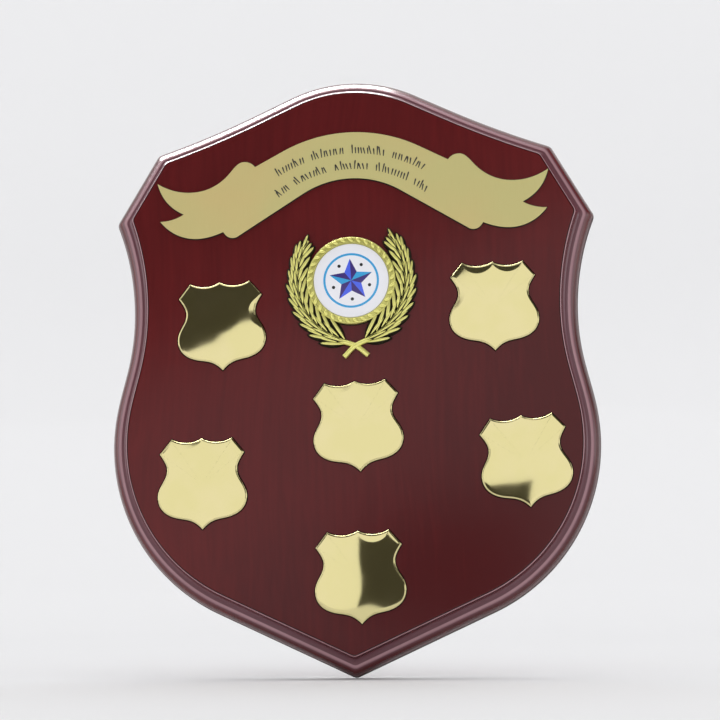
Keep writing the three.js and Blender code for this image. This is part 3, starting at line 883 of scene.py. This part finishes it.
def printed_disc(d, tilt):
    """White print under a clear coat: a five-point star of blue facets in a thin hoop."""
    t = Paint("Printed disc", d.paper)
    shift = Matrix.Rotation(tilt, 4, "Y") @ Vector((WREATH_CENTRE.x, 0, WREATH_CENTRE.y))
    links = {"Vector": t.where, "Rotation": (0.0, tilt, 0.0), "Location": (-shift.x, 0.0, -shift.z)}
    x, _, z = t.parts(t.node("ShaderNodeMapping", links, vector_type="POINT").outputs[0])
    calc = t.math

    def polar(radius, turn):
        """How far a point lies along a direction and across it, from its turn off that direction."""
        return [calc("MULTIPLY", radius, calc(part, turn)) for part in ("COSINE", "SINE")]

    def length_of(a, b):
        return calc("SQRT", calc("ADD", calc("MULTIPLY", a, a), calc("MULTIPLY", b, b)))

    reach = length_of(x, z)
    turn = calc("ARCTAN2", x, z)
    fifth = 2 * pi / 5
    sector = calc("ROUND", calc("DIVIDE", turn, fifth))
    off = calc("SUBTRACT", turn, calc("MULTIPLY", sector, fifth))
    aside = calc("ABSOLUTE", off)
    along, across = polar(reach, aside)
    corner = Vector((d.star_waist * cos(fifth / 2), d.star_waist * sin(fifth / 2)))
    normal = Vector((corner.y, d.star_radius - corner.x)).normalized()
    edge = calc("ADD", calc("MULTIPLY", along, normal.x), calc("MULTIPLY", across, normal.y))
    star = calc("LESS_THAN", edge, normal.x * d.star_radius)
    dark_half = calc("GREATER_THAN", off, 0.0)
    odd = calc("GREATER_THAN", calc("ABSOLUTE", calc("PINGPONG", sector, 1.0)), 0.5)
    hoop = calc("LESS_THAN", calc("ABSOLUTE", calc("SUBTRACT", reach, d.hoop_radius)), d.hoop_width / 2)
    dot_along, dot_across = polar(reach, calc("SUBTRACT", aside, fifth / 2))
    dot_gap = length_of(calc("SUBTRACT", dot_along, d.dot_reach), dot_across)
    dot = calc("LESS_THAN", dot_gap, d.dot_radius)

    facet = t.mix(dark_half, t.mix(odd, d.royal, d.sky), d.indigo)
    tone = t.mix(star, d.paper, facet)
    tone = t.mix(hoop, tone, d.sky)
    return t.done({
        "Base Color": t.mix(dot, tone, DOT_INK),
        "Roughness": 0.38,
        "Coat Weight": 0.4,
        "Coat Roughness": 0.08,
        "Normal": t.bump(t.noise(t.where, 900.0, 1.0), 0.03, 0.0002),
    })


def polished_brass(s):
    """Mirror-bright brass with the faintest ripples and smudges."""
    t = Paint("Polished brass", s.brass)
    smudge = t.marks(90.0, 1600.0)["Smudge"]
    tone = t.mix(t.ramp(smudge, 0.4, 0.7), s.brass, tinted(s.brass, (1.03, 1.02, 1.1)))
    return t.done({
        # Painted shade on the plate's cut sides and on the flange round its foot
        "Base Color": t.dark_below(tone, s.thickness - s.rim_width),
        "Metallic": 1.0,
        "Roughness": t.ramp(smudge, 0.35, 0.75, 0.03, 0.055),
        "Normal": t.bump(t.noise(t.where, 85.0, 0.0), 0.1, 0.0006),
    })


def studio_matte(name, tone, scale, detail, shade, rough, gleam):
    """A matte surface of the studio, mottled down to a shade of its tone."""
    t = Paint(name, tone)
    mottled = t.mix(t.noise(t.where, scale, detail), tone, tinted(tone, (shade, shade, shade)))
    return t.done({"Base Color": mottled, "Roughness": rough, "Specular IOR Level": gleam})


# Operators


class PLAQUE_OT_board(bpy.types.Operator):
    """Builds the wooden board with its moulded edge"""

    bl_idname = "plaque.board"
    bl_label = "Board"

    def execute(self, context):
        b = context.scene.plaque_board
        levels = [(board_outline(b, offset), FACE + depth) for offset, depth in moulding_profile(b)]
        mesh = finish_mesh(stacked(levels), "board", crease=30)
        add_piece("board", mesh, lacquered_wood(b), "shield_board")
        return {"FINISHED"}


class PLAQUE_OT_ribbon(bpy.types.Operator):
    """Builds the arched ribbon plate and its two rows of engraved strokes"""

    bl_idname = "plaque.ribbon"
    bl_label = "Ribbon"

    def execute(self, context):
        r = context.scene.plaque_ribbon
        outline = ribbon_outline(r)
        front = -RIBBON_THICKNESS
        e = r.edge_round
        levels = [
            (inset(outline, e + FLAT_BORDER / 2), front),
            (inset(outline, e), front),
            (inset(outline, e * 0.3), front + e * 0.3),
            (outline, front + e),
            *shade_line(outline),
        ]
        matrix = seat(r.middle, r.tilt)
        mesh = finish_mesh(stacked(levels), "ribbon", matrix)
        add_piece("ribbon", mesh, satin_brass(r), "ribbon_plate")
        enamel = dark_enamel(r)
        strokes = self.strokes(r, enamel)
        strokes.transform(matrix)
        add_piece("ribbon_strokes", strokes, enamel)
        return {"FINISHED"}

    def stroke_mesh(self, r):
        """One stroke: a slim wedge of unit height with a rounded head, drawn upright."""
        half = r.stroke_width / 2
        outline = [Vector((half * x, z)) for x, z in ((0.55, 0), (1, 0.82), (0.7, 0.95), (0, 1.0))]
        outline += mirrored(outline)[1:]
        return finish_mesh(stacked([(outline, -r.stroke_rise), (outline, r.stroke_rise)]), "stroke")

    def strokes(self, r, enamel):
        """Two rows of strokes in words with gaps, most of them short, each with a slight lean."""
        word, gap, most_lean, short_share, short = 13.0, 1.5, 0.3, 0.72, 0.7
        t = MeshTree("Engraved rows", {
            "Stroke": new_object("stroke", self.stroke_mesh(r)), "Reach": r.row_reach,
            "Pitch": r.stroke_pitch, "Upper Radius": r.upper_row_radius,
            "Upper Height": r.upper_row_height, "Lower Radius": r.lower_row_radius,
            "Lower Height": r.lower_row_height, "Stroke Length": r.stroke_length,
            "Depth": -RIBBON_THICKNESS, "Seed": r.seed,
        })
        rows = []
        for number, row in enumerate(("Upper", "Lower")):
            radius, top = t.given[row + " Radius"], t.given[row + " Height"]
            sweep = t.math("ARCSINE", t.math("DIVIDE", t.given["Reach"], radius))
            run = t.math("MULTIPLY", t.math("MULTIPLY", sweep, 2.0), radius)
            count = t.math("FLOOR", t.math("DIVIDE", run, t.given["Pitch"]))
            share = t.math("DIVIDE", t.index(), t.math("SUBTRACT", count, 1.0))
            turn = t.math("MULTIPLY", t.math("SUBTRACT", t.math("MULTIPLY", share, 2.0), 1.0), sweep)
            across, up = [t.math("MULTIPLY", t.math(part, turn), radius) for part in ("SINE", "COSINE")]
            height = t.math("ADD", up, t.math("SUBTRACT", top, radius))
            placed = t.points(count, t.combined(across, t.given["Depth"], height))
            in_word = t.math("MODULO", t.math("ADD", t.index(), 3.0 + 5.0 * number), word)
            links = {"Geometry": placed, "Selection": t.math("LESS_THAN", in_word, gap)}
            kept = t.node("GeometryNodeDeleteGeometry", links).outputs[0]
            seed = t.math("ADD", t.given["Seed"], float(number))
            lean = t.math("ADD", turn, t.random(-most_lean, most_lean, seed))
            draw = t.random(0.0, 1.0, t.math("ADD", seed, 10.0))
            is_tall = t.math("GREATER_THAN", draw, short_share)
            part = t.math("ADD", t.math("MULTIPLY", is_tall, 1 - short), short)
            size = t.combined(1.0, 1.0, t.math("MULTIPLY", part, t.given["Stroke Length"]))
            rows.append(t.instances(kept, t.given["Stroke"], t.combined(y=lean), size))
        return t.run(bpy.data.meshes.new("rows"), t.join(rows), enamel)


class PLAQUE_OT_wreath(bpy.types.Operator):
    """Builds the wreath surround: its roped ring, its cup and two laurel branches"""

    bl_idname = "plaque.wreath"
    bl_label = "Wreath"

    def execute(self, context):
        w = context.scene.plaque_wreath
        gold = wreath_gold(w)
        bm = bmesh.new()
        bm.verts.layers.float.new("crown")
        for mesh in (self.ring(w), self.rope(w, gold), self.branches(w, gold)):
            bm.from_mesh(mesh)
        bm.transform(seat(WREATH_CENTRE, w.tilt))
        mesh = bpy.data.meshes.new("wreath")
        bm.to_mesh(mesh)
        bm.free()
        mesh.polygons.foreach_set("material_index", [0] * len(mesh.polygons))
        add_piece("wreath", smoothed(mesh, 40), gold, "wreath_surround")
        return {"FINISHED"}

    def radii(self, w):
        """Radii of the cup, of the band's inner edge and of the whole ring."""
        cup = DISC_RADIUS + w.clearance
        band = cup + w.lip_width
        return cup, band, band + w.band_width

    def ring(self, w):
        """The turned body of the ring: outer bead, hollow for the rope, thin lip and cup."""
        cup, band, outer = self.radii(w)
        bead, bead_height = 0.22 * w.band_width, RING_HEIGHT - 0.7 * MM
        # How far the ring's body stays out of the painted crevice shade; this value dims it a little all
        # over.
        ring_crown = 0.53
        profile = [
            (0, 0),
            # A thin flange round the ring's foot takes the crevice tone: a painted shadow line.
            (outer + SHADE_LINE_WIDTH, 0),
            (outer + SHADE_LINE_WIDTH, SHADE_LINE_HEIGHT),
            (outer, 1.5 * SHADE_LINE_HEIGHT),
            (outer, RING_HEIGHT - 0.75 * MM),
        ]
        for turn in turns(6, pi):
            profile.append((outer - bead + bead * cos(turn), bead_height + bead * sin(turn)))
        profile += [
            (outer - 2.2 * bead, RING_HEIGHT - 0.85 * MM),
            (band + 0.15 * MM, RING_HEIGHT - 0.8 * MM),
            (band, w.lip_height),
            (cup + 0.12 * MM, w.lip_height + 0.03 * MM),
            (cup, w.lip_height - 0.12 * MM),
            (cup, w.cup_floor),
            (0, w.cup_floor),
        ]
        bm = turned(profile)
        crown = bm.verts.layers.float.new("crown")
        for vertex in bm.verts:
            vertex[crown] = ring_crown
        return finish_mesh(bm, "ring")

    def rope(self, w, gold):
        """Strands of the roped band, repeated round the ring."""
        bm = bmesh.new()
        crown = bm.verts.layers.float.new("crown")
        bmesh.ops.create_uvsphere(bm, u_segments=12, v_segments=8, radius=0.5)
        for vertex in bm.verts:
            # Painted shade: each strand darkens towards the board.
            vertex[crown] = 0.5 - vertex.co.y * 0.2
        thickness = 0.9 * MM
        t = MeshTree("Roped band", {
            "Strand": new_object("strand", finish_mesh(bm, "strand", crease=80)),
            "Strands": w.rope_strands, "Radius": self.radii(w)[1] + 0.4 * w.band_width,
            "Size": (w.strand_length, thickness, w.strand_width), "Lay": w.strand_lay,
            "Height": thickness / 2 - RING_HEIGHT,
        })
        turn = t.math("MULTIPLY", t.math("DIVIDE", t.index(), t.given["Strands"]), 2 * pi)
        x, z = [t.math("MULTIPLY", t.math(part, turn), t.given["Radius"]) for part in ("COSINE", "SINE")]
        placed = t.points(t.given["Strands"], t.combined(x, t.given["Height"], z))
        lay = t.math("SUBTRACT", t.math("SUBTRACT", t.given["Lay"], pi / 2), turn)
        strands = t.instances(placed, t.given["Strand"], t.combined(y=lay), t.given["Size"])
        return t.run(bpy.data.meshes.new("rope"), strands, gold)

    def leaf_mesh(self, w):
        """A laurel leaf of unit length and width along +X, its height in metres above the board."""
        along_steps, across_steps = 10, 8
        widest, foot_width, blunt_tip, flare = 0.42, 0.28, 0.01, 1.13
        bm = bmesh.new()
        crown = bm.verts.layers.float.new("crown")
        rows = []
        for i in range(along_steps + 1):
            s = i / along_steps
            if s < widest:
                half = 0.5 * (foot_width + (1 - foot_width) * sin(pi / 2 * s / widest))
            else:
                half = 0.5 * cos(pi / 2 * (s - widest) / (1 - widest)) ** 0.6 + blunt_tip
            swell = 0.55 + 0.45 * sin(pi * min(1.0, s + 0.12))
            row = []
            for j in range(across_steps + 1):
                side = 2 * j / across_steps - 1
                rise = (w.leaf_crest - w.leaf_edge) * swell * (1 - abs(side) ** 1.7)
                vein = w.vein_depth * max(0.0, 1 - abs(side) * 4)
                row.append(bm.verts.new((s, side * half, w.leaf_edge + rise - vein)))
                # Painted shade: the crown value falls off at the leaf's edges and tip, which take the
                # crevice tone.
                row[-1][crown] = (1 - abs(side)) * min(1.0, 6 * (1 - s)) - 0.12
            rows.append(row)
        for low, high in zip(rows, rows[1:]):
            for j in range(across_steps):
                bm.faces.new((low[j], high[j], high[j + 1], low[j + 1]))
        rim = [row[0] for row in rows] + rows[-1][1:-1] + [row[-1] for row in reversed(rows)]
        rim += list(reversed(rows[0][1:-1]))
        # The feet flare out so a dark rim of painted crevice shade shows round each leaf and between leaves.
        feet = [bm.verts.new((v.co.x, v.co.y * flare, 0.0)) for v in rim]
        for i in range(len(rim)):
            bm.faces.new((rim[i - 1], rim[i], feet[i], feet[i - 1]))
        bm.faces.new(feet)
        return finish_mesh(bm, "leaf", crease=38)

    def route(self, w):
        """The branch line as a chain of edges, along a smooth curve through its chosen points."""
        outer = self.radii(w)[2]
        centre = Vector((0, 0))
        points = [point_at(centre, outer + gap * MM, radians(turn)) for gap, turn in BRANCH_ROUTE]
        ends = [points[0] * 2 - points[1], *points, points[-1] * 2 - points[-2]]
        steps = 10
        line = []
        for before, a, b, after in zip(ends, ends[1:], ends[2:], ends[3:]):
            for t in [k / steps for k in range(steps)]:
                bend = (2 * before - 5 * a + 4 * b - after) * t**2 + (3 * a - before - 3 * b + after) * t**3
                line.append(0.5 * (2 * a + (b - before) * t + bend))
        line.append(points[-1])
        edges = [(i, i + 1) for i in range(len(line) - 1)]
        return plain_mesh("route", [(p.x, 0, p.y) for p in line], edges, [])

    def branches(self, w, gold):
        """Both branches: a stem with ranks of leaves, and its mirror image, which one lies over."""
        stem_lift, upper_height = 0.9, 1.16
        t = MeshTree("Laurel branches", {
            "Leaf": new_object("leaf", self.leaf_mesh(w)), "Bare Stem": w.bare_stem,
            "Tip Setback": w.tip_setback, "Stem Radius": w.stem_radius, "Low Leaf": w.low_leaf,
            "High Leaf": w.high_leaf, "Leaf Width": w.leaf_width,
        })
        curve = t.node("GeometryNodeMeshToCurve", {"Mesh": t.given["Geometry"]}).outputs[0]
        whole = t.node("GeometryNodeCurveLength", {"Curve": curve}).outputs[0]
        bare = t.given["Bare Stem"]
        leafy = t.math("SUBTRACT", t.math("SUBTRACT", whole, bare), t.given["Tip Setback"])
        grown = []
        for count, shift, low_spread, high_spread, beside, long, wide, lift in LEAF_RANKS:
            share = t.math("DIVIDE", t.math("ADD", t.index(), shift), LAST_LEAF)
            along = t.math("ADD", bare, t.math("MULTIPLY", share, leafy))
            links = {"Curves": curve, "Length": along}
            sample = t.node("GeometryNodeSampleCurve", links, mode="LENGTH", use_all_curves=True).outputs
            tangent = sample["Tangent"]
            outward = t.scaled(t.vector("CROSS_PRODUCT", (0.0, 1.0, 0.0), tangent), beside * MM)
            foot = t.vector("ADD", sample["Position"], outward)
            foot = t.vector("ADD", foot, (0.0, -lift * MM, 0.0))
            spread = t.blend(share, radians(low_spread), radians(high_spread))
            links = {"Vector": tangent, "Angle": spread}
            direction = t.node("ShaderNodeVectorRotate", links, rotation_type="Y_AXIS").outputs[0]
            turn = t.node(
                "FunctionNodeAxesToRotation", {0: direction, 1: (0.0, -1.0, 0.0)},
                primary_axis="X", secondary_axis="Z",
            ).outputs[0]
            leaf_length = t.blend(share, t.given["Low Leaf"], t.given["High Leaf"])
            leaf_width = t.math("MULTIPLY", t.given["Leaf Width"], wide)
            size = t.combined(t.math("MULTIPLY", leaf_length, long), leaf_width, 1.0)
            grown.append(t.instances(t.points(count, foot), t.given["Leaf"], turn, size))
        links = {"Resolution": 12, "Radius": t.given["Stem Radius"]}
        circle = t.node("GeometryNodeCurvePrimitiveCircle", links).outputs[0]
        links = {"Curve": curve, "Profile Curve": circle, "Fill Caps": True}
        stem = t.node("GeometryNodeCurveToMesh", links).outputs[0]
        # The stem stays out of the leaves' painted edge shade.
        links = {"Geometry": stem, "Name": "crown", "Value": 1.0}
        marked = t.node("GeometryNodeStoreNamedAttribute", links, data_type="FLOAT", domain="POINT")
        raised = t.combined(y=t.math("MULTIPLY", t.given["Stem Radius"], -stem_lift))
        grown.append(t.moved(marked.outputs[0], Translation=raised))
        branch = t.real(t.join(grown))
        other = t.node("GeometryNodeFlipFaces", {"Mesh": t.moved(branch, Scale=(-1.0, 1.0, 1.0))}).outputs[0]
        upper = t.moved(branch, Scale=(1.0, upper_height, 1.0))
        return t.run(self.route(w), t.join([upper, other]), gold)


class PLAQUE_OT_disc(bpy.types.Operator):
    """Builds the printed disc in the wreath's cup"""

    bl_idname = "plaque.disc"
    bl_label = "Disc"

    def execute(self, context):
        d = context.scene.plaque_disc
        e = d.edge_round
        profile = [(0, 0), (DISC_RADIUS, 0), (DISC_RADIUS, DISC_THICKNESS - e)]
        for turn in turns(4, first=1):
            height = DISC_THICKNESS - e * (1 - sin(turn))
            profile.append((DISC_RADIUS - e * (1 - cos(turn)), height))
        profile.append((0, DISC_THICKNESS))
        matrix = Matrix.Translation((WREATH_CENTRE.x, DISC_HIGH.y, WREATH_CENTRE.y))
        mesh = finish_mesh(turned(profile), "disc", matrix)
        material = printed_disc(d, context.scene.plaque_wreath.tilt)
        add_piece("disc", mesh, material, "centre_disc")
        return {"FINISHED"}


class PLAQUE_OT_small_shields(bpy.types.Operator):
    """Builds the six small brass shields, each with a rounded rim and a slightly domed middle"""

    bl_idname = "plaque.small_shields"
    bl_label = "Small shields"

    def execute(self, context):
        s = context.scene.plaque_small_shields
        brass = polished_brass(s)
        for name, x, z, tilt in SMALL_SHIELDS:
            matrix = seat((x * MM, z * MM), radians(tilt))
            mesh = finish_mesh(self.shell(s), name, matrix, crease=50)
            add_piece(name.replace("small_shield", "brass_shield"), mesh, brass, name)
        return {"FINISHED"}

    def shell(self, s):
        """Loops from the back's edge over the rounded rim and the pressed slope to the dome's middle."""
        outline, press = small_shield_outline(s)
        rim_foot = s.thickness - s.rim_width
        levels = shade_line(outline)[::-1] + [(outline, -rim_foot)]
        for turn in turns(6, first=1):
            height = rim_foot + s.rim_width * sin(turn)
            levels.append((inset(outline, s.rim_width * (1 - cos(turn))), -height))

        middle = Vector((0, (s.top_height + s.tip_height) / 2))
        reach = (s.top_height - s.tip_height) / 2

        def dome(point):
            return s.thickness + s.step_height + s.crown_rise * (1 - ((point - middle).length / reach) ** 2)

        fall = tan(s.press_slope)
        least_slope = 0.03 * MM
        slopes = [least_slope + s.press_width * p for p in press]
        step_end = s.rim_width + s.step_width
        for t in (0.0, 0.04, 0.5, 0.96, 1.0):
            loop = inset(outline, [step_end + slope * t for slope in slopes])
            levels.append((loop, [-(dome(p) - fall * slope * (1 - t)) for p, slope in zip(loop, slopes)]))
        edge = levels[-1][0]
        for k in (0.93, 0.84, 0.72, 0.6, 0.48, 0.36, 0.24, 0.12):
            loop = [middle + (p - middle) * k for p in edge]
            levels.append((loop, [-dome(p) for p in loop]))
        return stacked(levels[::-1])


class PLAQUE_OT_stage(bpy.types.Operator):
    """Builds the pale stage, the lights, the cards and the camera"""

    bl_idname = "plaque.stage"
    bl_label = "Stage"

    def execute(self, context):
        g = context.scene.plaque_stage
        self.sweep(g)
        self.lights()
        self.cards()
        self.camera(context, g)
        self.world(context)
        context.scene.view_settings.view_transform = "Standard"
        return {"FINISHED"}

    def world(self, context):
        """Pale soft light from all round, which polished metal sees as a dark room."""
        world = bpy.data.worlds.new("Studio")
        world.use_nodes = True
        t = Nodes(world.node_tree)
        path = t.node("ShaderNodeLightPath").outputs
        x, y, z = t.parts(t.node("ShaderNodeTexCoord").outputs["Generated"])
        starts, full = (cos(radians(degrees)) for degrees in DARK_FRONT)
        front = t.ramp(t.math("MULTIPLY", y, -1.0), starts, full)
        corner = t.band(t.math("ARCTAN2", x, z), DARK_CORNER, unit=radians(1))
        mirrored_room = t.mix(t.math("MAXIMUM", front, corner), ROOM_SIDES, ROOM_DARK)
        tone = t.mix(path["Is Glossy Ray"], ROOM_LIGHT, mirrored_room)
        tone = t.mix(path["Is Camera Ray"], tone, ROOM_SEEN)
        t.fill(world.node_tree.nodes["Background"], {"Color": tone})
        context.scene.world = world

    def sweep(self, g):
        """Floor that curves up into the backdrop behind the plaque."""
        floor = CAD_BOX[0][2] - 0.2 * MM
        back, bend, front, half, top = 0.9, 0.35, -1.2, 2.2, 2.2
        profile = [(front, floor), (back - bend, floor)]
        for turn in turns(12, first=1):
            profile.append((back - bend + bend * sin(turn), floor + bend * (1 - cos(turn))))
        profile.append((back, top))
        vertices = [(side, y, z) for y, z in profile for side in (-half, half)]
        faces = [(2 * i, 2 * i + 1, 2 * i + 3, 2 * i + 2) for i in range(len(profile) - 1)]
        mesh = smoothed(plain_mesh("sweep", vertices, [], faces))
        paper = studio_matte(
            "Backdrop paper", g.paper, scale=3.0, detail=2.0, shade=0.985, rough=0.9, gleam=0.1
        )
        mesh.materials.append(paper)
        new_object("sweep", mesh)

    def lights(self):
        """Lights the stage. The broad one overhead reaches only the board's gloss."""
        for name, where, target, size, radiance in LIGHTS:
            data = bpy.data.lights.new(name, "AREA")
            data.shape = "RECTANGLE"
            data.size, data.size_y = size
            data.energy = pi * size[0] * size[1] * radiance
            light = new_object(name, data)
            facing = (Vector(target) - Vector(where)).to_track_quat("-Z", "Y")
            light.matrix_world = Matrix.LocRotScale(Vector(where), facing, None)
            light.visible_camera = False
        overhead = bpy.data.objects["overhead"]
        overhead.visible_diffuse = False
        lit = bpy.data.collections.new("Lit from above")
        lit.objects.link(bpy.data.objects["board"])
        overhead.light_linking.receiver_collection = lit

    def cards(self):
        dark = studio_matte(
            "Dark card", CARD_TONE, scale=4.0, detail=1.0, shade=0.8, rough=1.0, gleam=0.0
        )
        for name, (ahead, corners) in CARDS.items():
            vertices = [(x, -ahead, z) for x, z in corners]
            mesh = plain_mesh(name, vertices, [], [tuple(range(len(corners)))])
            mesh.materials.append(dark)
            card = new_object(name, mesh)
            card.visible_camera = False
            card.visible_diffuse = False

    def camera(self, context, g):
        data = bpy.data.cameras.new("camera")
        data.angle = g.camera_angle
        data.clip_start = 0.01
        camera = new_object("camera", data)
        seen = Matrix.Identity(3)
        for degrees, axis in ((g.camera_roll, "Z"), (g.camera_pitch, "X"), (g.camera_yaw, "Y")):
            seen = seen @ Matrix.Rotation(radians(degrees), 3, axis)
        axes = Matrix([Vector((row.x, -row.z, row.y)) for row in seen]).transposed()
        camera.matrix_world = Matrix.LocRotScale(Vector(g.camera_place), axes.to_quaternion(), None)
        context.scene.camera = camera


class PLAQUE_PT_panel(bpy.types.Panel):
    bl_label = "Shield plaque"
    bl_idname = "PLAQUE_PT_panel"
    bl_space_type = "VIEW_3D"
    bl_region_type = "UI"
    bl_category = "Plaque"

    def draw(self, context):
        for operator in OPERATORS:
            self.layout.operator(operator.bl_idname)


SETTINGS = {
    "plaque_board": BoardSettings,
    "plaque_ribbon": RibbonSettings,
    "plaque_wreath": WreathSettings,
    "plaque_disc": DiscSettings,
    "plaque_small_shields": SmallShieldSettings,
    "plaque_stage": StageSettings,
}
OPERATORS = [
    PLAQUE_OT_board, PLAQUE_OT_ribbon, PLAQUE_OT_wreath, PLAQUE_OT_disc, PLAQUE_OT_small_shields,
    PLAQUE_OT_stage,
]


def register():
    for name, settings in SETTINGS.items():
        for attribute, made in settings.__annotations__.items():
            made.keywords["name"] = attribute.replace("_", " ").capitalize()
        bpy.utils.register_class(settings)
        setattr(bpy.types.Scene, name, PointerProperty(type=settings))
    for item in (*OPERATORS, PLAQUE_PT_panel):
        bpy.utils.register_class(item)


def unregister():
    for item in (PLAQUE_PT_panel, *reversed(OPERATORS)):
        bpy.utils.unregister_class(item)
    for name, settings in SETTINGS.items():
        delattr(bpy.types.Scene, name)
        bpy.utils.unregister_class(settings)


def main():
    register()
    bpy.ops.plaque.board()
    bpy.ops.plaque.ribbon()
    bpy.ops.plaque.wreath()
    bpy.ops.plaque.disc()
    bpy.ops.plaque.small_shields()
    bpy.ops.plaque.stage()


if __name__ == "__main__":
    main()
